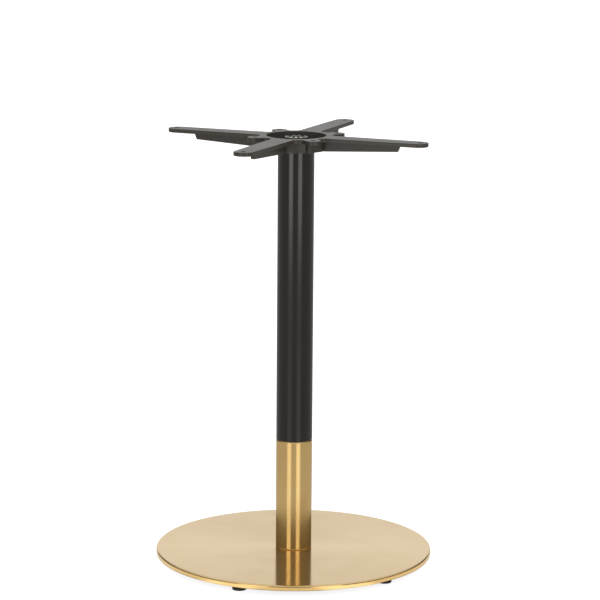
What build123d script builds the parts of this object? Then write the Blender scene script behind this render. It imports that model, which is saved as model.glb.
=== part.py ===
from build123d import *
from math import asin, cos, radians, sin
import os

# Dining table base: a round weighted disc, a two-tone column and a four-armed cast spider.
# Millimetres. +Z is up and the origin is on the floor, under the column.
# The spider's arms point along X and Y.

# Two places closer than this are the same place
same_place = 0.01

# Overall sizes
overall_height = 730.0
disc_diameter = 470.0
disc_top_height = 20.0
column_diameter = 61.4
column_joint_height = 210.0

# Base cover: brass-finished steel sheet, spun over the weight and turned in under its rim
cover_rim_height = 9.3
cover_wall = 1.2
cover_edge_radius = 2.0
cover_lip_width = 7.0

# Base weight: cast iron plate with a tapped boss for the tie rod and one for each foot
weight_gap = 0.3
weight_boss_radius = 27.0
weight_boss_drop = 6.0
foot_boss_radius = 15.0
foot_boss_drop = 2.2
boss_fillet = 2.0

# Levelling feet
foot_count = 5
foot_inset = 26.5
foot_start_angle = -92.6
pad_diameter = 24.5
pad_height = 6.6
pad_top_diameter = 23.0
pad_edge_radius = 1.6
stud_diameter = 8.0
stud_bore_clearance = 0.08
stud_top_gap = 0.6
stud_seat_depth = 4.0
collar_across_flats = 13.0

# Column tubes and what centres them
column_wall = 2.0
brass_edge_chamfer = 0.8
brass_seat_chamfer = 0.5
black_edge_chamfer = 0.2
slip_clearance = 0.05
sleeve_length = 70.0
sleeve_wall = 3.0
locating_disc_thickness = 6.0

# Tie rod with its nut and washer
rod_diameter = 22.0
rod_clearance = 0.75
thread_clearance = 0.05
rod_end_chamfer = 1.5
rod_end_recess = 0.8
rod_boss_engagement = 12.5
nut_across_flats = 34.0
nut_height = 11.0
nut_turn = 28.0
nut_top_recess = 0.6
nut_bore_chamfer = 1.1
washer_diameter = 41.0
washer_thickness = 3.0
washer_edge_chamfer = 0.4

# Spider: one casting
plate_thickness = 6.6
plate_edge_radius = 0.8
arm_count = 4
arm_root_width = 40.4
arm_tip_radius = 17.2
arm_tip_centre = 216.2
arm_hole_circle_radius = 220.0
lug_circle_radius = 73.8
lug_radius = 13.0
screw_hole_diameter = 9.0
arm_fillet_share = 0.6
lug_fillet_share = 0.5
ring_radius = 61.0
hub_depth = 23.7
hub_wall_bottom_radius = 52.0
hub_wall_draft = 1.5
recess_radius = 50.3
recess_draft = 3.8
floor_fillet = 4.0
rib_thickness = 6.5
rib_depth_at_hub = 24.3
rib_depth_at_end = 17.3
rib_end_radius = 181.0
rib_end_slant = 4.5
lug_web_thickness = 7.5
casting_fillet = 2.4
spigot_height = 8.0
spigot_clearance = 0.1

# Heights that follow from the sizes above
rim_bottom = disc_top_height - cover_rim_height
weight_top = disc_top_height - cover_wall
weight_bottom = rim_bottom + cover_wall
foot_seat = weight_bottom - foot_boss_drop
plate_bottom = overall_height - plate_thickness
hub_bottom = overall_height - hub_depth
nut_top = overall_height - nut_top_recess
washer_top = nut_top - nut_height
floor_top = washer_top - washer_thickness
rod_top = nut_top - rod_end_recess

# Radii that follow from the sizes above
disc_radius = disc_diameter / 2
column_radius = column_diameter / 2
column_bore_radius = column_radius - column_wall
rod_radius = rod_diameter / 2
stud_radius = stud_diameter / 2
screw_hole_radius = screw_hole_diameter / 2
weight_radius = disc_radius - cover_wall - weight_gap
foot_circle_radius = disc_radius - foot_inset


def foot_centres():
    """Centre of each levelling foot, evenly spaced on its circle."""
    turns = [radians(foot_start_angle + 360 / foot_count * index) for index in range(foot_count)]
    return [(foot_circle_radius * cos(turn), foot_circle_radius * sin(turn)) for turn in turns]


def upright_plane(angle):
    """Upright plane through the column's axis: local X runs outwards at the angle, local Y is up."""
    outwards = (cos(radians(angle)), sin(radians(angle)), 0)
    sideways = (sin(radians(angle)), -cos(radians(angle)), 0)
    return Plane(origin=(0, 0, 0), x_dir=outwards, z_dir=sideways)


# The cover is one sheet: a flat top, a rounded shoulder, a short rim and a turned-in lip.
with BuildPart() as base_cover:
    with BuildSketch(Plane.XZ) as cover_section:
        with BuildLine():
            Polyline(
                (rod_radius + rod_clearance, disc_top_height),
                (disc_radius, disc_top_height),
                (disc_radius, rim_bottom),
                (disc_radius - cover_lip_width, rim_bottom),
                (disc_radius - cover_lip_width, rim_bottom + cover_wall),
                (disc_radius - cover_wall, rim_bottom + cover_wall),
                (disc_radius - cover_wall, disc_top_height - cover_wall),
                (rod_radius + rod_clearance, disc_top_height - cover_wall),
                close=True,
            )
        make_face()
        outer_corners = cover_section.vertices().group_by(Axis.X)[-1]
        fillet(outer_corners, radius=cover_edge_radius)
    revolve(axis=Axis.Z)
base_cover.part.label = "base_cover"

# The weight fills the cover. Its underside drops to bosses at the rod and at each foot.
with BuildPart() as base_weight:
    with BuildSketch(Plane.XY.offset(weight_bottom)):
        Circle(weight_radius)
    extrude(amount=weight_top - weight_bottom)
    rounded_rim = base_weight.edges().filter_by(GeomType.CIRCLE)
    fillet(rounded_rim, radius=cover_edge_radius - cover_wall + weight_gap)
    with BuildSketch(Plane.XY.offset(weight_bottom - weight_boss_drop)):
        Circle(weight_boss_radius)
    extrude(amount=weight_boss_drop)
    with BuildSketch(Plane.XY.offset(foot_seat)):
        with Locations(*foot_centres()):
            Circle(foot_boss_radius)
    extrude(amount=foot_boss_drop)
    underside_edges = base_weight.edges().filter_by(GeomType.CIRCLE).filter_by_position(
        Axis.Z, weight_bottom - same_place, weight_bottom + same_place
    )
    boss_roots = underside_edges.filter_by(lambda edge: edge.radius < weight_radius / 2)
    fillet(boss_roots, radius=boss_fillet)
    with BuildSketch(Plane.XY.offset(weight_top)):
        Circle(rod_radius + thread_clearance)
    extrude(amount=-(weight_top - weight_bottom + weight_boss_drop), mode=Mode.SUBTRACT)
    with BuildSketch(Plane.XY.offset(weight_top)):
        with Locations(*foot_centres()):
            Circle(stud_radius + stud_bore_clearance)
    extrude(amount=-(weight_top - foot_seat), mode=Mode.SUBTRACT)
base_weight.part.label = "base_weight"

# The disc that centres the column lies inside the lower tube, on the cover.
with BuildPart() as column_locating_disc:
    with BuildSketch(Plane.XY.offset(disc_top_height)):
        Circle(column_bore_radius - slip_clearance)
        Circle(rod_radius + rod_clearance, mode=Mode.SUBTRACT)
    extrude(amount=locating_disc_thickness)
    chamfer(column_locating_disc.edges().group_by(Axis.Z)[-1], length=brass_edge_chamfer)
column_locating_disc.part.label = "column_locating_disc"

# Lower tube, brass finish: its upper outer edge is chamfered and catches the light.
with BuildPart() as column_lower:
    with BuildSketch(Plane.XY.offset(disc_top_height)):
        Circle(column_radius)
        Circle(column_bore_radius, mode=Mode.SUBTRACT)
    extrude(amount=column_joint_height - disc_top_height)
    top_circles = column_lower.edges().group_by(Axis.Z)[-1]
    chamfer(top_circles.sort_by(SortBy.RADIUS)[-1], length=brass_edge_chamfer)
    seat_circles = column_lower.edges().group_by(Axis.Z)[0]
    chamfer(seat_circles.sort_by(SortBy.RADIUS)[-1], length=brass_seat_chamfer)
column_lower.part.label = "column_lower"

# Upper tube, black powder coat, from the brass tube to the spider.
with BuildPart() as column_upper:
    with BuildSketch(Plane.XY.offset(column_joint_height)):
        Circle(column_radius)
        Circle(column_bore_radius, mode=Mode.SUBTRACT)
    extrude(amount=hub_bottom - column_joint_height)
    bottom_circles = column_upper.edges().group_by(Axis.Z)[0]
    chamfer(bottom_circles.sort_by(SortBy.RADIUS)[-1], length=black_edge_chamfer)
column_upper.part.label = "column_upper"

# Sleeve inside the joint: it is pressed halfway into each tube and keeps them in line.
with BuildPart() as column_joint_sleeve:
    with BuildSketch(Plane.XY.offset(column_joint_height - sleeve_length / 2)):
        Circle(column_bore_radius - slip_clearance)
        Circle(column_bore_radius - slip_clearance - sleeve_wall, mode=Mode.SUBTRACT)
    extrude(amount=sleeve_length)
    sleeve_ends = column_joint_sleeve.edges().group_by(Axis.Z)
    outer_ends = [sleeve_ends[0].sort_by(SortBy.RADIUS)[-1], sleeve_ends[-1].sort_by(SortBy.RADIUS)[-1]]
    chamfer(outer_ends, length=sleeve_wall / 3)
column_joint_sleeve.part.label = "column_joint_sleeve"

# The tie rod screws into the weight's middle boss and pulls the spider down on the column.
with BuildPart() as tie_rod:
    rod_bottom = weight_top - rod_boss_engagement
    with BuildSketch(Plane.XY.offset(rod_bottom)):
        Circle(rod_radius)
    extrude(amount=rod_top - rod_bottom)
    chamfer(tie_rod.edges().filter_by(GeomType.CIRCLE), length=rod_end_chamfer)
tie_rod.part.label = "tie_rod"

# Flat washer on the floor of the spider's recess.
with BuildPart() as top_washer:
    with BuildSketch(Plane.XY.offset(floor_top)):
        Circle(washer_diameter / 2)
        Circle(rod_radius + rod_clearance, mode=Mode.SUBTRACT)
    extrude(amount=washer_thickness)
    washer_rim = top_washer.edges().group_by(Axis.Z)[-1].sort_by(SortBy.RADIUS)[-1]
    chamfer(washer_rim, length=washer_edge_chamfer)
top_washer.part.label = "top_washer"

# Hexagon nut: a prism whose corners are turned off by a cone at each end.
with BuildPart() as top_nut:
    nut_corner_radius = nut_across_flats / 2 / cos(radians(30))
    nut_chamfer_height = (nut_corner_radius - nut_across_flats / 2) * sin(radians(30)) / cos(radians(30))
    with BuildSketch(Plane.XY.offset(washer_top)):
        RegularPolygon(radius=nut_corner_radius, side_count=6, rotation=nut_turn)
    extrude(amount=nut_height)
    with BuildSketch(Plane.XZ):
        with BuildLine():
            Polyline(
                (0, washer_top),
                (nut_across_flats / 2, washer_top),
                (nut_corner_radius, washer_top + nut_chamfer_height),
                (nut_corner_radius, nut_top - nut_chamfer_height),
                (nut_across_flats / 2, nut_top),
                (0, nut_top),
                close=True,
            )
        make_face()
    revolve(axis=Axis.Z, mode=Mode.INTERSECT)
    with BuildSketch(Plane.XY.offset(nut_top)):
        Circle(rod_radius + thread_clearance)
    extrude(amount=-nut_height, mode=Mode.SUBTRACT)
    bore_mouth = top_nut.edges().group_by(Axis.Z)[-1].filter_by(GeomType.CIRCLE)
    chamfer(bore_mouth.sort_by(SortBy.RADIUS)[0], length=nut_bore_chamfer)
top_nut.part.label = "top_nut"

# The spider is one casting: a flat plate with four tapered arms and four screw lugs,
# a dished hub that holds the nut, a rib under each arm and a short web under each lug.
arm_half_at_ring = arm_root_width / 2 - (arm_root_width / 2 - arm_tip_radius) * ring_radius / arm_tip_centre
quarter = radians(360 / arm_count)
free_turn = quarter / 2 - asin(arm_half_at_ring / ring_radius) - asin(lug_radius / ring_radius)
free_arc = free_turn * ring_radius
arm_root_fillet = free_arc * arm_fillet_share
lug_root_fillet = free_arc * lug_fillet_share
lug_corner_offset = ring_radius * sin(quarter / 2 - asin(lug_radius / ring_radius))

with BuildPart() as spider:
    with BuildSketch(Plane.XY.offset(plate_bottom)) as plate_outline:
        with BuildSketch(mode=Mode.PRIVATE) as arm_outline:
            Circle(arm_root_width / 2)
            with Locations((arm_tip_centre, 0)):
                Circle(arm_tip_radius)
            make_hull()
        with BuildSketch(mode=Mode.PRIVATE) as lug_outline:
            with Locations((lug_circle_radius / 2, 0)):
                Rectangle(lug_circle_radius, 2 * lug_radius)
            with Locations((lug_circle_radius, 0)):
                Circle(lug_radius)
        Circle(ring_radius)
        with PolarLocations(0, arm_count):
            add(arm_outline.sketch)
        with PolarLocations(0, arm_count, start_angle=180 / arm_count):
            add(lug_outline.sketch)
        on_ring = plate_outline.vertices().filter_by(
            lambda corner: abs(Vector(corner.X, corner.Y, 0).length - ring_radius) < same_place
        )
        at_arms = on_ring.filter_by(
            lambda corner: min(abs(corner.X), abs(corner.Y)) < lug_corner_offset - same_place
        )
        fillet(at_arms, radius=arm_root_fillet)
        at_lugs = plate_outline.vertices().filter_by(
            lambda corner: abs(min(abs(corner.X), abs(corner.Y)) - lug_corner_offset) < same_place
        )
        fillet(at_lugs, radius=lug_root_fillet)
    extrude(amount=plate_thickness)
    fillet(spider.edges().group_by(Axis.Z)[-1], radius=plate_edge_radius)
    fillet(spider.edges().group_by(Axis.Z)[0], radius=plate_edge_radius)
    # Hub wall and floor, with the draft that lets the casting leave its mould
    with BuildSketch(Plane.XZ):
        with BuildLine():
            Polyline(
                (0, hub_bottom),
                (hub_wall_bottom_radius, hub_bottom),
                (hub_wall_bottom_radius + hub_wall_draft, plate_bottom + plate_edge_radius),
                (0, plate_bottom + plate_edge_radius),
                close=True,
            )
        make_face()
    revolve(axis=Axis.Z)
    for index in range(arm_count):
        # Rib under the arm: deepest at the hub's wall, cut off at a slant before the screw hole
        with BuildSketch(upright_plane(index * 360 / arm_count)):
            with BuildLine():
                Polyline(
                    (hub_wall_bottom_radius / 2, plate_bottom + plate_edge_radius),
                    (rib_end_radius + rib_end_slant, plate_bottom + plate_edge_radius),
                    (rib_end_radius + rib_end_slant, plate_bottom),
                    (rib_end_radius, overall_height - rib_depth_at_end),
                    (hub_wall_bottom_radius, overall_height - rib_depth_at_hub),
                    (hub_wall_bottom_radius / 2, overall_height - rib_depth_at_end),
                    close=True,
                )
            make_face()
        extrude(amount=rib_thickness / 2, both=True)
        # Short web under the lug, out to the edge of the ring
        with BuildSketch(upright_plane((index + 0.5) * 360 / arm_count)):
            with BuildLine():
                Polyline(
                    (hub_wall_bottom_radius / 2, plate_bottom + plate_edge_radius),
                    (ring_radius, plate_bottom + plate_edge_radius),
                    (ring_radius - hub_wall_draft, hub_bottom),
                    (hub_wall_bottom_radius / 2, hub_bottom),
                    close=True,
                )
            make_face()
        extrude(amount=lug_web_thickness / 2, both=True)
    # Ribs, webs and hub run into the plate with a cast fillet
    underside = spider.faces().filter_by_position(
        Axis.Z, plate_bottom - same_place, plate_bottom + same_place
    )
    root_edges = underside[0].inner_wires()[0].edges()
    fillet(root_edges, radius=casting_fillet)
    # Recess for the nut, open at the top
    with BuildSketch(Plane.XZ) as recess_section:
        with BuildLine():
            Polyline(
                (0, floor_top),
                (recess_radius - recess_draft, floor_top),
                (recess_radius, overall_height),
                (0, overall_height),
                close=True,
            )
        make_face()
        floor_corner = recess_section.vertices().group_by(Axis.Y)[0].sort_by(Axis.X)[-1]
        fillet(floor_corner, radius=floor_fillet)
    revolve(axis=Axis.Z, mode=Mode.SUBTRACT)
    # Spigot that centres the casting in the column's bore
    with BuildSketch(Plane.XY.offset(hub_bottom)):
        Circle(column_bore_radius - spigot_clearance)
    extrude(amount=-spigot_height)
    chamfer(spider.edges().group_by(Axis.Z)[0], length=plate_edge_radius)
    # Hole for the tie rod
    with BuildSketch(Plane.XY.offset(floor_top)):
        Circle(rod_radius + rod_clearance)
    extrude(amount=-(floor_top - hub_bottom + spigot_height), mode=Mode.SUBTRACT)
    # Screw holes at the arm tips and in the lugs
    with BuildSketch(Plane.XY.offset(overall_height)):
        with PolarLocations(arm_hole_circle_radius, arm_count):
            Circle(screw_hole_radius)
        with PolarLocations(lug_circle_radius, arm_count, start_angle=180 / arm_count):
            Circle(screw_hole_radius)
    extrude(amount=-plate_thickness, mode=Mode.SUBTRACT)
spider.part.label = "spider"

# Levelling feet: a steel stud with a hexagon collar, and a plastic pad moulded on its end.
# Screwed right in, the collar bears on the weight's boss.
foot_pads = []
foot_studs = []
for index, (foot_x, foot_y) in enumerate(foot_centres(), start=1):
    foot_plane = Plane(origin=(foot_x, foot_y, 0))
    with BuildPart(foot_plane) as foot_pad:
        with BuildSketch(Plane(origin=(foot_x, foot_y, 0), x_dir=(1, 0, 0), z_dir=(0, -1, 0))) as pad_section:
            with BuildLine():
                Polyline(
                    (0, 0),
                    (pad_diameter / 2, 0),
                    (pad_top_diameter / 2, pad_height),
                    (0, pad_height),
                    close=True,
                )
            make_face()
            pad_corners = pad_section.vertices().sort_by(Axis.X)[-2:]
            fillet(pad_corners, radius=pad_edge_radius)
        revolve(axis=Axis((foot_x, foot_y, 0), (0, 0, 1)))
        with BuildSketch(foot_plane.offset(pad_height)):
            Circle(stud_radius + slip_clearance)
        extrude(amount=-stud_seat_depth, mode=Mode.SUBTRACT)
    foot_pad.part.label = f"foot_pad_{index}"
    foot_pads.append(foot_pad.part)

    with BuildPart(foot_plane) as foot_stud:
        with BuildSketch(foot_plane.offset(pad_height - stud_seat_depth)):
            Circle(stud_radius)
        extrude(amount=weight_top - stud_top_gap - (pad_height - stud_seat_depth))
        chamfer(foot_stud.edges().group_by(Axis.Z)[-1], length=stud_top_gap)
        with BuildSketch(foot_plane.offset(pad_height)):
            RegularPolygon(radius=collar_across_flats / 2, major_radius=False, side_count=6)
        extrude(amount=foot_seat - pad_height)
    foot_stud.part.label = f"foot_stud_{index}"
    foot_studs.append(foot_stud.part)

fixed_parts = [
    base_cover.part,
    base_weight.part,
    column_locating_disc.part,
    column_lower.part,
    column_upper.part,
    column_joint_sleeve.part,
    tie_rod.part,
    top_washer.part,
    top_nut.part,
    spider.part,
]
os.makedirs("parts", exist_ok=True)
for piece in fixed_parts + foot_pads + foot_studs:
    export_step(piece, f"parts/{piece.label}.step")
    print(piece.label, round(piece.volume / 1000, 2), "cm3")
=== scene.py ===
# %% [markdown]
# # Dining table base: a brass disc, a two-tone column and a cast spider
#
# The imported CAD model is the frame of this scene. It is loaded first, and nothing in it is moved.
# Everything is in metres. The floor is z = 0, the column stands on the Z axis, and the spider's
# arms point along X and Y.

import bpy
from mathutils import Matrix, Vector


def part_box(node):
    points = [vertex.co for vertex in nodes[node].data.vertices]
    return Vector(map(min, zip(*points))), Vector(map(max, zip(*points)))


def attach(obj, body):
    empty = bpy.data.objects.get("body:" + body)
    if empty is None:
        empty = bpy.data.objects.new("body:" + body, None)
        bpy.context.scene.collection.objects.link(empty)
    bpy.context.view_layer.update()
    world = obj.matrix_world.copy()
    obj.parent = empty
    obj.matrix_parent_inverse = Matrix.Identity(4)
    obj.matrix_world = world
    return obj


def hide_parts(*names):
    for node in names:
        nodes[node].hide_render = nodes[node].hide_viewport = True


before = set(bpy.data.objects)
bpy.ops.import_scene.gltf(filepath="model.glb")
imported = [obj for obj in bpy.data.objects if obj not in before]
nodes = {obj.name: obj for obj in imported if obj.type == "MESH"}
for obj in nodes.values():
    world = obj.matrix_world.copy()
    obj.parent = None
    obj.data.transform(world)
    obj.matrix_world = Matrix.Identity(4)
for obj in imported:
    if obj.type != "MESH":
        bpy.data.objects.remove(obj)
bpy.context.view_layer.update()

# %% [markdown]
# ## Tools that every later cell uses
#
# numpy works out whole arrays of points at once, which is quick and keeps each shape's formula
# readable. `mm` turns the millimetres of a drawing into Blender's metres.

# %% Libraries and units
import bpy
import numpy as np
from mathutils import Matrix, Vector

mm = 0.001
scene = bpy.context.scene
print("CAD nodes", len(nodes))

# %% [markdown]
# Colours are written as on a web page, in sRGB hex. Shaders calculate with linear light, so one
# function makes the change. Another adds a node to a material's tree: its settings are given by
# name, and each input takes either a plain value or the output socket that feeds it.


# %% Colours and nodes
def linear(colour):
    """Linear red, green, blue and alpha of a colour such as "#F2D8A6": below 0.04045 the sRGB value
    over 12.92, and above it ((value + 0.055) / 1.055) to the power 2.4."""
    srgb = np.array([int(colour[i : i + 2], 16) for i in (1, 3, 5)]) / 255
    light = np.where(srgb <= 0.04045, srgb / 12.92, ((srgb + 0.055) / 1.055) ** 2.4)
    return (*light.tolist(), 1.0)


def add_node(tree, kind, inputs=None, **settings):
    """Adds one node with its settings. Each input is a plain value, or a socket to link from."""
    node = tree.nodes.new(kind)
    for name, value in settings.items():
        setattr(node, name, value)
    for name, value in (inputs or {}).items():
        if isinstance(value, bpy.types.NodeSocket):
            tree.links.new(value, node.inputs[name])
        else:
            node.inputs[name].default_value = value
    return node


# The Mix node has a pair of sockets for each kind of value. These are its colour sockets by number.
MIX_FIRST, MIX_SECOND, MIX_RESULT = 6, 7, 2


def new_material(name):
    """An empty material, with its output node."""
    material = bpy.data.materials.new(name)
    material.use_nodes = True
    material.node_tree.nodes.clear()
    return material, material.node_tree, material.node_tree.nodes.new("ShaderNodeOutputMaterial")


print("brass in linear light", [round(v, 3) for v in linear("#F7D492")])

# %% [markdown]
# ## The camera
#
# The photograph was taken from far away with a long lens, so the column hardly tapers. A pinhole
# camera was fitted to the disc, the column and the spider's edges. It stands 4.51 m from the axis
# and 1.34 m above the floor, looks down by 11.1 degrees and leans by 0.4 degrees.

# %% Camera
camera_turn = np.radians(22.6)
camera_distance = 4.5145
camera_height = 1.3358
camera_pitch = np.radians(11.102)
camera_yaw = np.radians(0.104)
camera_roll = np.radians(0.415)
camera_lens = 163.67
full_frame_width = 36.0


def camera_matrix():
    """Place and turn of the camera. Forward is tipped down by the pitch, right is level, up is
    square to both, and the roll turns right and up about forward. Last, all of it turns about Z."""
    flat = np.array([np.sin(camera_yaw), np.cos(camera_yaw), 0.0])
    forward = flat * np.cos(camera_pitch) - np.array([0, 0, np.sin(camera_pitch)])
    right = np.array([np.cos(camera_yaw), -np.sin(camera_yaw), 0.0])
    up = np.cross(right, forward)
    leaning_right = np.cos(camera_roll) * right + np.sin(camera_roll) * up
    leaning_up = np.cos(camera_roll) * up - np.sin(camera_roll) * right
    place = np.eye(4)
    place[:3, 0], place[:3, 1], place[:3, 2] = leaning_right, leaning_up, -forward
    place[:3, 3] = (0, -camera_distance, camera_height)
    return Matrix.Rotation(camera_turn, 4, "Z") @ Matrix(place.tolist())


camera_data = bpy.data.cameras.new("camera")
camera_data.lens = camera_lens
camera_data.sensor_width = full_frame_width
camera_data.clip_end = 200.0
camera = bpy.data.objects.new("camera", camera_data)
camera.matrix_world = camera_matrix()
scene.collection.objects.link(camera)
scene.camera = camera
print("camera at", [round(v, 3) for v in camera.location])

# %% [markdown]
# ## The studio
#
# Polished metal has no look of its own: it shows the room. The brass in the photograph mirrors two
# tall softboxes either side of the camera, a white backdrop behind, a pale floor, and a dimmer room
# at both sides. The same room is built here, so that the column gets its two bright stripes.
#
# A softbox is an area lamp. Its angle is measured from the camera's side, about the column.

# %% Softboxes
camera_side = np.radians(-90.0) + camera_turn


def softbox(name, from_angle, to_angle, distance, bottom, top, brightness):
    """A lamp that fills the angles between two bearings at a distance, and faces the column. Its
    width is twice the distance times the tangent of half the angle between them, and its power is
    its brightness times its area times pi."""
    middle = camera_side + np.radians((from_angle + to_angle) / 2)
    lamp = bpy.data.lights.new(name, "AREA")
    lamp.shape = "RECTANGLE"
    lamp.size = 2 * distance * np.tan(np.radians(to_angle - from_angle) / 2)
    lamp.size_y = top - bottom
    lamp.energy = brightness * np.pi * lamp.size * lamp.size_y
    holder = bpy.data.objects.new(name, lamp)
    place = Vector((distance * np.cos(middle), distance * np.sin(middle), (bottom + top) / 2))
    holder.location = place
    holder.rotation_euler = Vector((place.x, place.y, 0)).to_track_quat("Z", "Y").to_euler()
    holder.visible_camera = False
    scene.collection.objects.link(holder)
    print(name, "width", round(lamp.size, 2), "height", round(lamp.size_y, 2))


# Each softbox has its tube at the bottom, so its lower 27 cm are more than twice as bright
left_bearings, right_bearings = (-43, -19), (15, 38)
lamp_distance = 3.0
lamp_bottom, lamp_middle, lamp_top = 0.08, 0.35, 1.0
lower_brightness, upper_brightness = 3.0, 1.35
for side, bearings in (("left", left_bearings), ("right", right_bearings)):
    lower_part = (lamp_distance, lamp_bottom, lamp_middle, lower_brightness)
    upper_part = (lamp_distance, lamp_middle, lamp_top, upper_brightness)
    softbox(f"softbox_{side}_lower", *bearings, *lower_part)
    softbox(f"softbox_{side}_upper", *bearings, *upper_part)

# %% [markdown]
# The world is the rest of the room. A ray that leaves the camera sees plain white. A mirrored ray
# sees a white backdrop behind the object, and elsewhere walls that are dim near the floor and grow
# brighter towards the ceiling. The direction's part towards the backdrop is a dot product, and its
# Z is the height. Diffuse rays get an even glow.

# %% World
world = bpy.data.worlds.new("studio")
scene.world = world
world.use_nodes = True
room = world.node_tree
room.nodes.clear()

# Brightness of each part of the room, where 1 is paper white
wall_at_floor, wall_at_ceiling = 0.07, 0.8
backdrop_brightness, even_brightness = 0.86, 0.66
# Heights are sines: the walls are dim up to 14 degrees above the floor and bright from 53 degrees
wall_dim_to, wall_bright_from = 0.25, 0.8
# Cosines: the backdrop fills 15 degrees either side of straight behind, and fades out by 35
backdrop_ends, backdrop_full = 0.82, 0.966

backdrop_direction = (-np.cos(camera_side), -np.sin(camera_side), 0.0)
direction = add_node(room, "ShaderNodeTexCoord").outputs["Generated"]
unit = add_node(room, "ShaderNodeVectorMath", {0: direction}, operation="NORMALIZE").outputs[0]
towards_back = add_node(
    room, "ShaderNodeVectorMath", {0: unit, 1: backdrop_direction}, operation="DOT_PRODUCT"
).outputs["Value"]
height = add_node(room, "ShaderNodeSeparateXYZ", {"Vector": unit}).outputs["Z"]
wall_glow = add_node(
    room,
    "ShaderNodeMapRange",
    {
        "Value": height,
        "From Min": wall_dim_to,
        "From Max": wall_bright_from,
        "To Min": wall_at_floor,
        "To Max": wall_at_ceiling,
    },
    interpolation_type="SMOOTHSTEP",
).outputs["Result"]
backdrop_share = add_node(
    room,
    "ShaderNodeMapRange",
    {"Value": towards_back, "From Min": backdrop_ends, "From Max": backdrop_full},
    interpolation_type="SMOOTHSTEP",
).outputs["Result"]
mirrored_room = add_node(
    room, "ShaderNodeMix", {"Factor": backdrop_share, "A": wall_glow, "B": backdrop_brightness}
).outputs["Result"]
path = add_node(room, "ShaderNodeLightPath")
room_glow = add_node(
    room,
    "ShaderNodeMix",
    {"Factor": path.outputs["Is Glossy Ray"], "A": even_brightness, "B": mirrored_room},
).outputs["Result"]
seen_directly = add_node(
    room,
    "ShaderNodeMath",
    {0: path.outputs["Is Camera Ray"], 1: path.outputs["Is Transmission Ray"]},
    operation="MAXIMUM",
).outputs[0]
glow = add_node(
    room, "ShaderNodeMix", {"Factor": seen_directly, "A": room_glow, "B": 1.0}
).outputs["Result"]
background = add_node(room, "ShaderNodeBackground", {"Color": linear("#FFFFFF"), "Strength": glow})
add_node(room, "ShaderNodeOutputWorld", {"Surface": background.outputs[0]})
print("world nodes", len(room.nodes))

# %% [markdown]
# The floor is a wide sheet of pale studio board. It is diffuse, so it keeps the object's soft
# shadow, and a glow that only the camera sees lifts it to the white of the backdrop. Polished metal
# sees another glow: a pool of light round the base, where the photograph's rim is bright, and a
# streak towards each softbox, which the column mirrors in its two stripes. Elsewhere it sees the
# board's own grey.

# %% Floor
floor_radius, floor_corners = 60.0, 64
floor_angle = np.linspace(0, 2 * np.pi, floor_corners, endpoint=False)
floor_rim = floor_radius * np.stack([np.cos(floor_angle), np.sin(floor_angle), 0 * floor_angle], -1)
floor_mesh = bpy.data.meshes.new("floor")
floor_mesh.from_pydata(floor_rim.tolist(), [], [list(range(floor_corners))])
floor = bpy.data.objects.new("floor", floor_mesh)
scene.collection.objects.link(floor)

# Distances from the axis in metres, and brightness where 1 is paper white
shade_ends = (0.236, 0.262)
pool_fades, pool_brightness = (0.28, 0.35), 0.5
streak_fades, streak_edge = (1.45, 2.0), 4
streaks = ((left_bearings, 0.4), (right_bearings, 0.5))
seen_brightness = 0.85

studio_board, tree, output = new_material("studio_board")
board_path = add_node(tree, "ShaderNodeLightPath")
board_point = add_node(tree, "ShaderNodeTexCoord").outputs["Object"]
from_axis = add_node(
    tree, "ShaderNodeVectorMath", {0: board_point}, operation="LENGTH"
).outputs["Value"]
pool = add_node(
    tree,
    "ShaderNodeMapRange",
    {
        "Value": from_axis,
        "From Min": pool_fades[0],
        "From Max": pool_fades[1],
        "To Min": pool_brightness,
        "To Max": 0.0,
    },
    interpolation_type="SMOOTHSTEP",
).outputs["Result"]
# Under the disc it is dark, so the lower edge of the rim mirrors no light
beside_disc = add_node(
    tree,
    "ShaderNodeMapRange",
    {"Value": from_axis, "From Min": shade_ends[0], "From Max": shade_ends[1]},
).outputs["Result"]
lit_pool = add_node(
    tree, "ShaderNodeMath", {0: pool, 1: beside_disc}, operation="MULTIPLY"
).outputs[0]
# The board shines a little and carries a streak of each softbox: the point's direction from the
# axis is compared with the softbox's by a dot product. The streak's sides are soft over 4 degrees
# either way, and it fades out with distance.
towards = add_node(
    tree, "ShaderNodeVectorMath", {0: board_point}, operation="NORMALIZE"
).outputs[0]
floor_light = lit_pool
for bearings, brightness in streaks:
    middle = camera_side + np.radians(sum(bearings) / 2)
    half_width = (bearings[1] - bearings[0]) / 2
    facing = add_node(
        tree,
        "ShaderNodeVectorMath",
        {0: towards, 1: (np.cos(middle), np.sin(middle), 0)},
        operation="DOT_PRODUCT",
    ).outputs["Value"]
    in_streak = add_node(
        tree,
        "ShaderNodeMapRange",
        {
            "Value": facing,
            "From Min": np.cos(np.radians(half_width + streak_edge)),
            "From Max": np.cos(np.radians(half_width - streak_edge)),
        },
        interpolation_type="SMOOTHSTEP",
    ).outputs["Result"]
    strength = add_node(
        tree,
        "ShaderNodeMapRange",
        {
            "Value": from_axis,
            "From Min": streak_fades[0],
            "From Max": streak_fades[1],
            "To Min": brightness,
            "To Max": 0.0,
        },
        interpolation_type="SMOOTHSTEP",
    ).outputs["Result"]
    floor_light = add_node(
        tree,
        "ShaderNodeMath",
        {0: in_streak, 1: strength, 2: floor_light},
        operation="MULTIPLY_ADD",
    ).outputs[0]
mirrored_glow = add_node(
    tree,
    "ShaderNodeMath",
    {0: board_path.outputs["Is Glossy Ray"], 1: floor_light},
    operation="MULTIPLY",
).outputs[0]
board_seen = add_node(
    tree,
    "ShaderNodeMath",
    {0: board_path.outputs["Is Camera Ray"], 1: board_path.outputs["Is Transmission Ray"]},
    operation="MAXIMUM",
).outputs[0]
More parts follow.
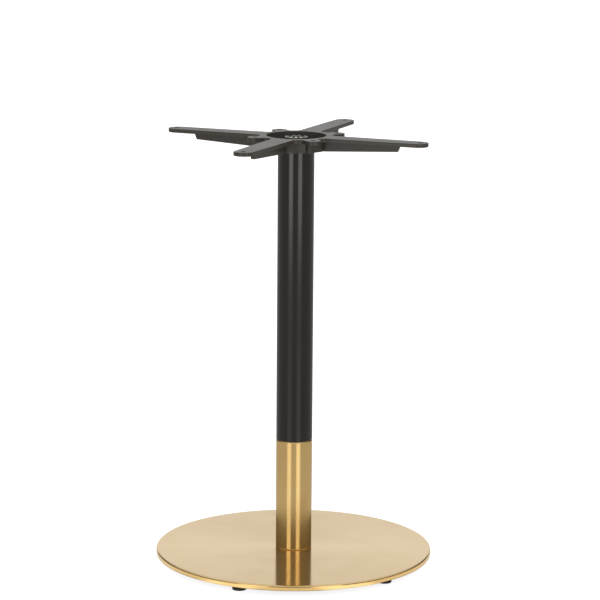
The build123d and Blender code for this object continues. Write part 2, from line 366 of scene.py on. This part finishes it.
board_glow = add_node(
    tree, "ShaderNodeMix", {"Factor": board_seen, "A": mirrored_glow, "B": seen_brightness}
).outputs["Result"]
board = add_node(
    tree,
    "ShaderNodeBsdfPrincipled",
    {
        "Base Color": linear("#DCDBD8"),
        "Roughness": 0.9,
        "Specular IOR Level": 0.0,
        "Emission Color": linear("#FFFFFF"),
        "Emission Strength": board_glow,
    },
)
tree.links.new(board.outputs[0], output.inputs["Surface"])
floor.data.materials.append(studio_board)
print("floor radius", floor_radius)

# %% [markdown]
# ## Finish 1: brass, brushed and polished
#
# The disc's cover and the lower tube are steel with a brass finish: brushed on a turning machine,
# then polished until it mirrors. The lines run round the axis, so a reflection stays sharp sideways
# and smears up and down. That is what an anisotropic metal does, with its direction turned by a
# quarter so that the smear lies across the lines.
#
# A little bump gives the lines themselves, and a slow noise gives the wipe marks that any polished
# metal has. Both read Object coordinates, which here are metres from the point on the floor under
# the column.


# %% Cylinder coordinates
def around_axis(tree):
    """Distance from the Z axis, angle about it, height above the floor, and the point itself, all
    in Object coordinates: the distance is the root of x squared plus y squared."""
    point = add_node(tree, "ShaderNodeTexCoord").outputs["Object"]
    axes = add_node(tree, "ShaderNodeSeparateXYZ", {"Vector": point})
    flat = add_node(
        tree, "ShaderNodeVectorMath", {0: point, 1: (1, 1, 0)}, operation="MULTIPLY"
    ).outputs[0]
    distance = add_node(
        tree, "ShaderNodeVectorMath", {0: flat}, operation="LENGTH"
    ).outputs["Value"]
    angle = add_node(
        tree, "ShaderNodeMath", {0: axes.outputs["Y"], 1: axes.outputs["X"]}, operation="ARCTAN2"
    ).outputs[0]
    return distance, angle, axes.outputs["Z"], point


# %% Brushed brass
def brushed_brass(name, colour, deep_colour, roughness, line_height, line_spacing):
    """Brass with lines round the axis. Distance from the axis and height change fast in the line
    noise and the angle slowly, so each line runs a long way round before it fades."""
    material, tree, output = new_material(name)
    distance, angle, height, point = around_axis(tree)
    across = add_node(tree, "ShaderNodeMath", {0: distance, 1: height}, operation="ADD").outputs[0]
    fast = add_node(
        tree, "ShaderNodeMath", {0: across, 1: 1 / line_spacing}, operation="MULTIPLY"
    ).outputs[0]
    # Three cells of noise in a radian make a line about 19 degrees long
    slow = add_node(tree, "ShaderNodeMath", {0: angle, 1: 3.0}, operation="MULTIPLY").outputs[0]
    along = add_node(tree, "ShaderNodeCombineXYZ", {"X": fast, "Y": slow}).outputs[0]
    lines = add_node(
        tree, "ShaderNodeTexNoise", {"Vector": along, "Scale": 1.0, "Detail": 2.0, "Roughness": 0.6}
    ).outputs["Fac"]
    # Wipe marks are 60 to 120 mm long and hardly show
    wipes = add_node(
        tree,
        "ShaderNodeTexNoise",
        {"Vector": point, "Scale": 1 / (90 * mm), "Detail": 3.0, "Distortion": 0.8},
    ).outputs["Fac"]
    tone = add_node(
        tree, "ShaderNodeMapRange", {"Value": wipes, "From Min": 0.35, "From Max": 0.65}
    ).outputs["Result"]
    metal_colour = add_node(
        tree,
        "ShaderNodeMix",
        {"Factor": tone, MIX_FIRST: linear(colour), MIX_SECOND: linear(deep_colour)},
        data_type="RGBA",
    ).outputs[MIX_RESULT]
    gloss = add_node(
        tree,
        "ShaderNodeMapRange",
        {"Value": wipes, "To Min": roughness * 0.9, "To Max": roughness * 1.12},
    ).outputs["Result"]
    bump = add_node(
        tree,
        "ShaderNodeBump",
        {"Height": lines, "Strength": 1.0, "Distance": line_height},
    ).outputs["Normal"]
    metal = add_node(
        tree,
        "ShaderNodeBsdfPrincipled",
        {
            "Base Color": metal_colour,
            "Metallic": 1.0,
            "Roughness": gloss,
            "Anisotropic": 0.85,
            "Anisotropic Rotation": 0.25,
            "Normal": bump,
        },
    )
    tree.links.new(metal.outputs[0], output.inputs["Surface"])
    return material


# Real brushing is 0.05 to 0.1 mm apart. It is drawn 1 mm apart on the tube and 2.2 mm on the disc,
# so that it shows at all, and very low, so that lines this coarse don't look like waves.
brass_tube_finish = brushed_brass(
    "brushed_brass_tube", "#F7D492", "#F2CB88",
    roughness=0.2, line_height=0.0004 * mm, line_spacing=1.0 * mm,
)
# The disc is the same brass as the tube, but its colour is paler and less yellow: a painted sheen
# standing in for the whitening of its grazing reflection
brass_disc_painted_sheen = brushed_brass(
    "brass_disc_painted_pale_sheen", "#EFD4A5", "#ECCF9D",
    roughness=0.16, line_height=0.0001 * mm, line_spacing=2.2 * mm,
)
print("brass finishes made")

# %% [markdown]
# ## Finish 2: black powder coat on the upper tube, and paint on the spider
#
# Powder coat is baked plastic. It is smooth to the hand, but it dries with a fine orange peel about
# a millimetre across, so a reflection of the softbox has soft, slightly uneven edges.


# %% Powder coat
def powder_coat(name, colour, worn_colour, roughness, peel_size, peel_height):
    """A black coat with an orange-peel bump and a faint, slow change of tone and gloss."""
    material, tree, output = new_material(name)
    point = add_node(tree, "ShaderNodeTexCoord").outputs["Object"]
    peel = add_node(
        tree, "ShaderNodeTexNoise", {"Vector": point, "Scale": 1 / peel_size, "Detail": 2.0}
    ).outputs["Fac"]
    patches = add_node(
        tree, "ShaderNodeTexNoise", {"Vector": point, "Scale": 1 / (70 * mm), "Detail": 4.0}
    ).outputs["Fac"]
    coat_colour = add_node(
        tree,
        "ShaderNodeMix",
        {"Factor": patches, MIX_FIRST: linear(colour), MIX_SECOND: linear(worn_colour)},
        data_type="RGBA",
    ).outputs[MIX_RESULT]
    gloss = add_node(
        tree,
        "ShaderNodeMapRange",
        {"Value": patches, "To Min": roughness * 0.88, "To Max": roughness * 1.12},
    ).outputs["Result"]
    bump = add_node(
        tree, "ShaderNodeBump", {"Height": peel, "Strength": 1.0, "Distance": peel_height}
    ).outputs["Normal"]
    coat = add_node(
        tree,
        "ShaderNodeBsdfPrincipled",
        {"Base Color": coat_colour, "Roughness": gloss, "IOR": 1.52, "Normal": bump},
    )
    tree.links.new(coat.outputs[0], output.inputs["Surface"])
    return material


tube_coat = powder_coat(
    "powder_coated_tube", "#17110D", "#1B1511",
    roughness=0.17, peel_size=1.3 * mm, peel_height=0.0015 * mm,
)
# The spider's paint lies on a sand-cast skin, so it is duller, greyer and far rougher
spider_coat = powder_coat(
    "painted_casting", "#403B34", "#453F37",
    roughness=0.36, peel_size=1.6 * mm, peel_height=0.012 * mm,
)
print("black finishes made")

# %% [markdown]
# ## Finish 3: zinc plate and phosphate on the hardware
#
# Bright zinc is a cool grey metal, less sharp than chrome, with a faint blue and yellow bloom. The
# nut and the tie rod are phosphated: a dark grey, oily and duller. All were turned or rolled, which
# leaves fine rings, here 1.8 mm apart instead of 0.2, so that they show. They run round the axis of
# the column, and on the feet, far from it, they are nearly straight lines.


# %% Hardware
def hardware_steel(name, colour, bloom_colour, smoothest, roughest):
    """Plated steel with turning rings and a bloom in patches of 9 mm. A wave texture repeats every
    pi / 10 at a scale of 1."""
    material, tree, output = new_material(name)
    point = add_node(tree, "ShaderNodeTexCoord").outputs["Object"]
    rings = add_node(
        tree,
        "ShaderNodeTexWave",
        {"Vector": point, "Scale": np.pi / 10 / (1.7593 * mm), "Distortion": 1.5, "Detail": 2.0},
        wave_type="RINGS",
        rings_direction="Z",
    ).outputs["Fac"]
    bloom = add_node(
        tree, "ShaderNodeTexNoise", {"Vector": point, "Scale": 1 / (9 * mm), "Detail": 4.0}
    ).outputs["Fac"]
    plate_colour = add_node(
        tree,
        "ShaderNodeMix",
        {"Factor": bloom, MIX_FIRST: linear(colour), MIX_SECOND: linear(bloom_colour)},
        data_type="RGBA",
    ).outputs[MIX_RESULT]
    gloss = add_node(
        tree, "ShaderNodeMapRange", {"Value": bloom, "To Min": smoothest, "To Max": roughest}
    ).outputs["Result"]
    bump = add_node(
        tree, "ShaderNodeBump", {"Height": rings, "Strength": 1.0, "Distance": 0.01 * mm}
    ).outputs["Normal"]
    metal = add_node(
        tree,
        "ShaderNodeBsdfPrincipled",
        {"Base Color": plate_colour, "Metallic": 1.0, "Roughness": gloss, "Normal": bump},
    )
    tree.links.new(metal.outputs[0], output.inputs["Surface"])
    return material


zinc_plate = hardware_steel(
    "zinc_plated_steel", "#C3C5C4", "#A9A69B", smoothest=0.16, roughest=0.3
)
phosphate = hardware_steel(
    "phosphated_steel", "#55534D", "#45433E", smoothest=0.4, roughest=0.6
)
print("hardware finishes made")

# %% [markdown]
# ## Finish 4: the cast iron weight and the nylon pads
#
# The weight is sand cast and dipped in black primer: grainy, matt and a little brown where rust
# shows through. The pads are moulded nylon with a fine spark-eroded grain.

# %% Cast iron
cast_iron, tree, output = new_material("primed_cast_iron")
point = add_node(tree, "ShaderNodeTexCoord").outputs["Object"]
sand = add_node(
    tree,
    "ShaderNodeTexNoise",
    {"Vector": point, "Scale": 1 / (2.2 * mm), "Detail": 5.0, "Roughness": 0.65},
).outputs["Fac"]
rust = add_node(
    tree,
    "ShaderNodeTexNoise",
    {"Vector": point, "Scale": 1 / (35 * mm), "Detail": 6.0, "Roughness": 0.7},
).outputs["Fac"]
rust_share = add_node(
    tree, "ShaderNodeMapRange", {"Value": rust, "From Min": 0.56, "From Max": 0.72, "To Max": 0.6}
).outputs["Result"]
iron_colour = add_node(
    tree,
    "ShaderNodeMix",
    {"Factor": rust_share, MIX_FIRST: linear("#2B2A29"), MIX_SECOND: linear("#4A3328")},
    data_type="RGBA",
).outputs[MIX_RESULT]
iron_bump = add_node(
    tree, "ShaderNodeBump", {"Height": sand, "Strength": 1.0, "Distance": 0.25 * mm}
).outputs["Normal"]
iron = add_node(
    tree,
    "ShaderNodeBsdfPrincipled",
    {"Base Color": iron_colour, "Roughness": 0.72, "Normal": iron_bump},
)
tree.links.new(iron.outputs[0], output.inputs["Surface"])
print("cast iron finish made")

# %% Nylon
moulded_nylon, tree, output = new_material("moulded_nylon")
point = add_node(tree, "ShaderNodeTexCoord").outputs["Object"]
grain = add_node(
    tree, "ShaderNodeTexNoise", {"Vector": point, "Scale": 1 / (0.6 * mm), "Detail": 2.0}
).outputs["Fac"]
nylon_gloss = add_node(
    tree, "ShaderNodeMapRange", {"Value": grain, "To Min": 0.42, "To Max": 0.58}
).outputs["Result"]
nylon_bump = add_node(
    tree, "ShaderNodeBump", {"Height": grain, "Strength": 1.0, "Distance": 0.03 * mm}
).outputs["Normal"]
nylon = add_node(
    tree,
    "ShaderNodeBsdfPrincipled",
    {"Base Color": linear("#1C1B1C"), "Roughness": nylon_gloss, "IOR": 1.53, "Normal": nylon_bump},
)
tree.links.new(nylon.outputs[0], output.inputs["Surface"])
print("nylon finish made")

# %% [markdown]
# ## Surfaces from grids of points
#
# Every new piece is worked out as a grid of points in rows and columns. Its faces follow from the
# grid's order, so one function makes them for all pieces.


# %% Meshes from grids of points
def grid_faces(rows, columns, closed_rows):
    """Four corners of each cell of a grid whose columns close on themselves: this point, the next
    in its row, the one above that, and the one above this. Seen from outside they run
    anticlockwise."""
    row = np.arange(rows if closed_rows else rows - 1)[:, None]
    column = np.arange(columns)[None, :]
    above, beside = (row + 1) % rows * columns, (column + 1) % columns
    row = row * columns
    return np.stack([row + column, row + beside, above + beside, above + column], -1).reshape(-1, 4)


def mesh_of(name, *grids):
    """One mesh of several grids of points (row, column, xyz). An open grid is a closed ring of
    columns with a flat face at its first and last row, and any other closes both ways."""
    points, faces, start = [], [], 0
    for grid, is_open in grids:
        rows, columns = grid.shape[:2]
        faces += (start + grid_faces(rows, columns, not is_open)).tolist()
        if is_open:
            first, last = np.arange(columns)[::-1], (rows - 1) * columns + np.arange(columns)
            faces += [(start + first).tolist(), (start + last).tolist()]
        points.append(grid.reshape(-1, 3))
        start += rows * columns
    mesh = bpy.data.meshes.new(name)
    mesh.from_pydata(np.concatenate(points).tolist(), [], faces)
    return mesh


# %% [markdown]
# ## Turned pieces
#
# A spun cover and a tube are the same shape all the way round, so one drawing of their wall makes
# them. Real sheet has no sharp edge: every bend and cut edge is a small round that catches a line
# of light. A Bevel modifier could add it, but the bends here have sizes of their own, so the rounds
# are part of the drawing. A run next to a round would shade as if it were bent too. An extra point
# close to each round stops that, as a holding loop does in hand modelling.


# %% A wall's drawing, and turning it
def softened(corners, cuts, steps=6):
    """A closed profile with its corners rounded. Each corner C becomes the parabola between A and
    B, the points one cut before and after it: (1 - t) squared of A, 2t(1 - t) of C and t squared of
    B, with t from 0 to 1. A holding point lies half a cut outside A, and another outside B."""
    corners = np.asarray(corners, float)
    corners = corners if corners.ndim == 3 else corners[:, None, :]
    cuts = np.reshape(cuts, (-1, 1, 1))
    back, ahead = np.roll(corners, 1, axis=0) - corners, np.roll(corners, -1, axis=0) - corners
    back = cuts * back / np.linalg.norm(back, axis=-1, keepdims=True)
    ahead = cuts * ahead / np.linalg.norm(ahead, axis=-1, keepdims=True)
    t = np.linspace(0, 1, steps + 1)[None, :, None, None]
    start, middle, end = (corners + back)[:, None], corners[:, None], (corners + ahead)[:, None]
    curve = (1 - t) ** 2 * start + 2 * t * (1 - t) * middle + t**2 * end
    held = np.concatenate([start + back[:, None] / 2, curve, end + ahead[:, None] / 2], axis=1)
    return held.reshape(-1, corners.shape[1], 2)


def turned(profile, around, centre=(0.0, 0.0), start_angle=0.0):
    """A profile of radius and height, turned about an upright line: radius times the angle's cosine
    and sine, with the same height. It runs up the outside and down the inside, so that faces point
    outwards."""
    angle = start_angle + np.linspace(0, 2 * np.pi, around, endpoint=False)
    radius, height = profile[..., 0], profile[..., 1]
    x, y = centre[0] + radius * np.cos(angle), centre[1] + radius * np.sin(angle)
    return np.stack([x, y, height + 0 * angle], -1)


def dress(mesh, material, body, slot, *nodes_replaced, sharp=35):
    """Makes a finished piece: shaded smooth up to an angle in degrees, and riding on its body."""
    mesh.materials.append(material)
    mesh.shade_smooth()
    mesh.set_sharp_from_angle(angle=np.radians(sharp))
    piece = bpy.data.objects.new(mesh.name, mesh)
    scene.collection.objects.link(piece)
    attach(piece, body)
    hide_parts(*nodes_replaced)
    mesh.calc_loop_triangles()
    print(mesh.name, "triangles", len(mesh.loop_triangles))
    return piece


# %% [markdown]
# The disc's cover is one round of sheet steel, 1.2 mm thick, spun over the weight. Its shoulder
# bends within 3.4 mm, its rim is 9 mm tall, and its lip is turned in underneath. Its place and its
# outer sizes come from the CAD node that it replaces.

# %% Brass cover
cover_low, cover_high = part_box("base_cover")
cover_radius, cover_bottom, cover_top = cover_high[0], cover_low[2], cover_high[2]
sheet, lip, rod_hole = 1.2 * mm, 7 * mm, 11.75 * mm
cover_around = 512
rim_cut, shoulder_cut, hole_cut = 2.4 * mm, 3.4 * mm, 0.2 * mm
inner_cut, edge_cut = 1 * mm, 0.3 * mm
cover_profile = softened(
    [
        (cover_radius, cover_bottom),
        (cover_radius, cover_top),
        (rod_hole, cover_top),
        (rod_hole, cover_top - sheet),
        (cover_radius - sheet, cover_top - sheet),
        (cover_radius - sheet, cover_bottom + sheet),
        (cover_radius - lip, cover_bottom + sheet),
        (cover_radius - lip, cover_bottom),
    ],
    [rim_cut, shoulder_cut, hole_cut, hole_cut, inner_cut, inner_cut, edge_cut, edge_cut],
    steps=10,
)
brass_cover = dress(
    mesh_of("brass_cover", (turned(cover_profile, cover_around), False)),
    brass_disc_painted_sheen, "base", "brass_finish", "base_cover",
)

# The disc's top carries a paler brass, a painted sheen for its grazing reflection. The rim, from
# the lip up to half a millimetre under the top, gets the deeper gold of the tube's brass, as the
# same metal seen square on
brass_cover.data.materials.append(brass_tube_finish)
face_centres = np.empty(3 * len(brass_cover.data.polygons))
brass_cover.data.polygons.foreach_get("center", face_centres)
face_centres = face_centres.reshape(-1, 3)
on_rim = (np.hypot(face_centres[:, 0], face_centres[:, 1]) > cover_radius - lip) & (
    face_centres[:, 2] < cover_top - 0.5 * mm
)
brass_cover.data.polygons.foreach_set("material_index", on_rim.astype(np.int32))
print("rim faces", int(on_rim.sum()))

# %% [markdown]
# The column is two tubes of one width. The brass one stands on the disc, where its rounded foot
# leaves a fine dark line. Its upper edge is turned to a slim bevel that leans back by 29 degrees:
# the bevel's lower part catches the ceiling as a pale line, and its upper part lies in the shade of
# the black tube.

# %% Column tubes
tube_wall = 2 * mm
tube_around = 384
turned_edge, bore_edge = 0.15 * mm, 0.2 * mm


def tube_profile(node, foot_round, bevel_depth, bevel_height):
    """The wall of a tube: outside from foot to bevel to top, then the bore from top to foot."""
    low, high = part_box(node)
    outer, bore, foot, top = high[0], high[0] - tube_wall, low[2], high[2]
    return softened(
        [
            (outer, foot),
            (outer, top - bevel_height),
            (outer - bevel_depth, top),
            (bore, top),
            (bore, foot),
        ],
        [foot_round, turned_edge, turned_edge, turned_edge, bore_edge],
    )


brass_tube_profile = tube_profile("column_lower", 2.2 * mm, 1.2 * mm, 2.2 * mm)
black_tube_profile = tube_profile("column_upper", 0.6 * mm, 0.3 * mm, 0.3 * mm)
dress(
    mesh_of("brass_tube", (turned(brass_tube_profile, tube_around), False)),
    brass_tube_finish, "base", "brass_finish", "column_lower",
)
dress(
    mesh_of("black_tube", (turned(black_tube_profile, tube_around), False)),
    tube_coat, "base", "black_powder_coat", "column_upper",
)

# %% [markdown]
# ## Threads
#
# A rolled thread is a ridge that climbs the rod by one pitch each turn. A Screw modifier can make
# one, but the ridge is also a simple function of height and angle, and that form fades out into the
# plain rod and gives the chamfered end for free.


# %% Threaded rod
def threaded(radius, heights, pitch, depth, end_cut, around, centre=(0.0, 0.0)):
    """A rod whose radius is its full radius less the depth times a wave: twice the distance of
    height / pitch - angle / one turn from the nearest whole number. Near its ends the radius is
    never more than the full radius less the end cut plus the distance from the end."""
    angle = np.linspace(0, 2 * np.pi, around, endpoint=False)[None, :]
    climb = heights[:, None] / pitch - angle / (2 * np.pi)
    wave = 2 * np.abs(climb - np.round(climb))
    depths = np.broadcast_to(np.asarray(depth, float), heights.shape)[:, None]
    end = np.minimum(heights - heights[0], heights[-1] - heights)[:, None]
    ridge = np.minimum(radius - depths * wave, radius - end_cut + end)
    return turned(np.stack([ridge, heights[:, None] + 0 * angle], -1), around, centre)


# The tie rod is M22, threaded at both ends and plain between. Ten rows of points make each turn of
# the thread, and its depth runs out over its last 3 mm towards the plain part.
rod_pitch, rod_thread_depth, rod_end_cut = 2.5 * mm, 1.3 * mm, 1.5 * mm
lower_length, upper_length, run_out = 25 * mm, 45 * mm, 3 * mm
rod_low, rod_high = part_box("tie_rod")
rod_bottom, rod_top = rod_low[2], rod_high[2]
lower_rows = 10 * round(lower_length / rod_pitch) + 1
upper_rows = 10 * round(upper_length / rod_pitch) + 1
lower_thread = np.linspace(rod_bottom, rod_bottom + lower_length, lower_rows)
upper_thread = np.linspace(rod_top - upper_length, rod_top, upper_rows)
rod_heights = np.concatenate([lower_thread, upper_thread])
from_plain_part = np.minimum(
    np.abs(rod_heights - lower_thread[-1]), np.abs(rod_heights - upper_thread[0])
)
rod_depth = rod_thread_depth * np.clip(from_plain_part / run_out, 0, 1)
rod_grid = threaded(rod_high[0], rod_heights, rod_pitch, rod_depth, rod_end_cut, around=64)
dress(
    mesh_of("threaded_tie_rod", (rod_grid, True)),
    phosphate, "base", "zinc_steel", "tie_rod", sharp=50,
)

# %% [markdown]
# The nut is a hexagon turned off at its corners, so each corner ends in a small curved shoulder. In
# a profile that changes with the angle, the outer wall's radius is half the width across flats over
# the cosine of the angle from the nearest flat's middle, and for each millimetre that this radius
# passes the flats the shoulder drops by the tangent of 30 degrees.


# %% Hexagon nut and collars
def hexagon_ring(
    flats, bore, bottom, top, bore_cut, round_size, around, centre=(0.0, 0.0), turn=0.0
):
    """A hexagonal ring with turned-off corners, as a grid of points that closes both ways. Its
    shoulder is at least 1.2 round sizes high, which leaves room for the rounds beside it."""
    angle = np.linspace(0, 2 * np.pi, around, endpoint=False)
    from_flat = (angle + np.pi / 6) % (np.pi / 3) - np.pi / 6
    outer = flats / 2 / np.cos(from_flat)
    shoulder = np.maximum((outer - flats / 2) * np.tan(np.radians(30)), 1.2 * round_size)
    same = np.ones(around)
    corners = [
        (outer, bottom + shoulder),
        (outer, top - shoulder),
        (flats / 2 * same - round_size, top * same),
        ((bore + bore_cut) * same, top * same),
        (bore * same, (top - bore_cut) * same),
        (bore * same, (bottom + bore_cut) * same),
        ((bore + bore_cut) * same, bottom * same),
        (flats / 2 * same - round_size, bottom * same),
    ]
    corner_lines = np.stack([np.stack(corner, -1) for corner in corners])
    profile = softened(corner_lines, [round_size / 2] * len(corners), steps=3)
    return turned(profile, around, centre, turn)


nut_low, nut_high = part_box("top_nut")
nut_flats, nut_bore = 34 * mm, 11.05 * mm
nut_turn = np.radians(58)
lock_height = 2.6 * mm
nut_top = nut_high[2] - lock_height
nut_grid = hexagon_ring(
    nut_flats, nut_bore, nut_low[2], nut_top,
    bore_cut=1.1 * mm, round_size=0.5 * mm, around=6 * 24, turn=nut_turn,
)
dress(mesh_of("hexagon_nut", (nut_grid, False)), phosphate, "base", "zinc_steel", "top_nut")

# %% [markdown]
# In the photograph a ring of small bright teeth lies on the nut. It is a star lock ring: a washer
# of spring steel whose inner teeth are bent up and bite into the rod, so that the nut can't work
# loose. Each tooth narrows and rises towards the rod, and its raised face catches the light.

# %% Star lock ring
tooth_count = 12
ring_turn = np.radians(-8.8)
rim_radius, root_radius, tip_radius = 18.8 * mm, 17.6 * mm, 12.6 * mm
ring_steel = 0.7 * mm
tooth_overlap = 0.3 * mm


def lock_tooth(number):
    """One tooth as a tapering bar, whose root runs a little into the rim. Along it the radius falls
    from root to tip, the height rises with the power 0.8 of the way gone, and its half width in
    angle shrinks from 0.4 to 0.06 of a pitch. Its cross-section is a rectangle, whose four corners
    are the columns of the grid."""
    along = np.linspace(0, 1, 7)[:, None]
    side, face = np.array([[1, 1, -1, -1], [0.5, -0.5, -0.5, 0.5]])
    pitch = 2 * np.pi / tooth_count
    radius = root_radius + tooth_overlap + (tip_radius - root_radius) * along + 0 * side
    angle = ring_turn + pitch * (number + side * (0.4 - 0.34 * along))
    height = nut_top + ring_steel * (0.5 + face) + (lock_height - ring_steel) * along**0.8
    return np.stack([radius * np.cos(angle), radius * np.sin(angle), height], -1)


rim_profile = softened(
    [
        (rim_radius, nut_top),
        (rim_radius, nut_top + ring_steel),
        (root_radius, nut_top + ring_steel),
        (root_radius, nut_top),
    ],
    [0.2 * mm] * 4,
    steps=3,
)
teeth = [(lock_tooth(number), True) for number in range(tooth_count)]
dress(
    mesh_of("star_lock_ring", (turned(rim_profile, 160), False), *teeth),
    zinc_plate, "base", "zinc_steel", "top_nut", sharp=30,
)

# %% [markdown]
# Each foot is an M8 stud with a hexagonal collar, and it screws into a boss in the weight. Its
# thread shows between the collar and the boss when the foot is screwed out. At rest the collar
# bears on the boss, whose face lies 3.8 mm above the weight's lowest face.

# %% Foot studs
foot_numbers = range(1, 6)
stud_radius, stud_pitch, stud_thread_depth, stud_end_cut = 4 * mm, 1.25 * mm, 0.65 * mm, 0.6 * mm
collar_flats, collar_bore, collar_round = 13 * mm, 3.3 * mm, 0.2 * mm
collar_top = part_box("base_weight")[0][2] + 3.8 * mm
for number in foot_numbers:
    stud_low, stud_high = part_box(f"foot_stud_{number}")
    pad_low, pad_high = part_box(f"foot_pad_{number}")
    foot = ((pad_low[0] + pad_high[0]) / 2, (pad_low[1] + pad_high[1]) / 2)
    stud_heights = np.append(np.arange(stud_low[2], stud_high[2], stud_pitch / 8), stud_high[2])
    stud_grid = threaded(
        stud_radius, stud_heights, stud_pitch, stud_thread_depth, stud_end_cut,
        around=32, centre=foot,
    )
    collar_grid = hexagon_ring(
        collar_flats, collar_bore, pad_high[2], collar_top,
        bore_cut=collar_round, round_size=collar_round, around=6 * 8, centre=foot,
    )
    dress(
        mesh_of(f"threaded_stud_{number}", (stud_grid, True), (collar_grid, False)),
        zinc_plate, f"foot_{number}", "zinc_steel", f"foot_stud_{number}", sharp=50,
    )

# %% [markdown]
# ## Each CAD node that stays gets its finish
#
# The casting, the weight, the pads and what is inside the column already have their shape.

# %% Assign the finishes
finish_of = {
    "spider": spider_coat,
    "base_weight": cast_iron,
    "column_locating_disc": zinc_plate,
    "column_joint_sleeve": zinc_plate,
    "top_washer": zinc_plate,
}
for number in foot_numbers:
    finish_of[f"foot_pad_{number}"] = moulded_nylon
for name, material in finish_of.items():
    mesh = nodes[name].data
    mesh.materials.clear()
    mesh.materials.append(material)
print("finishes assigned to", len(finish_of), "nodes")

# %% [markdown]
# ## View transform
#
# The render uses the Standard view transform.

# %% Finish
scene.view_settings.view_transform = "Standard"
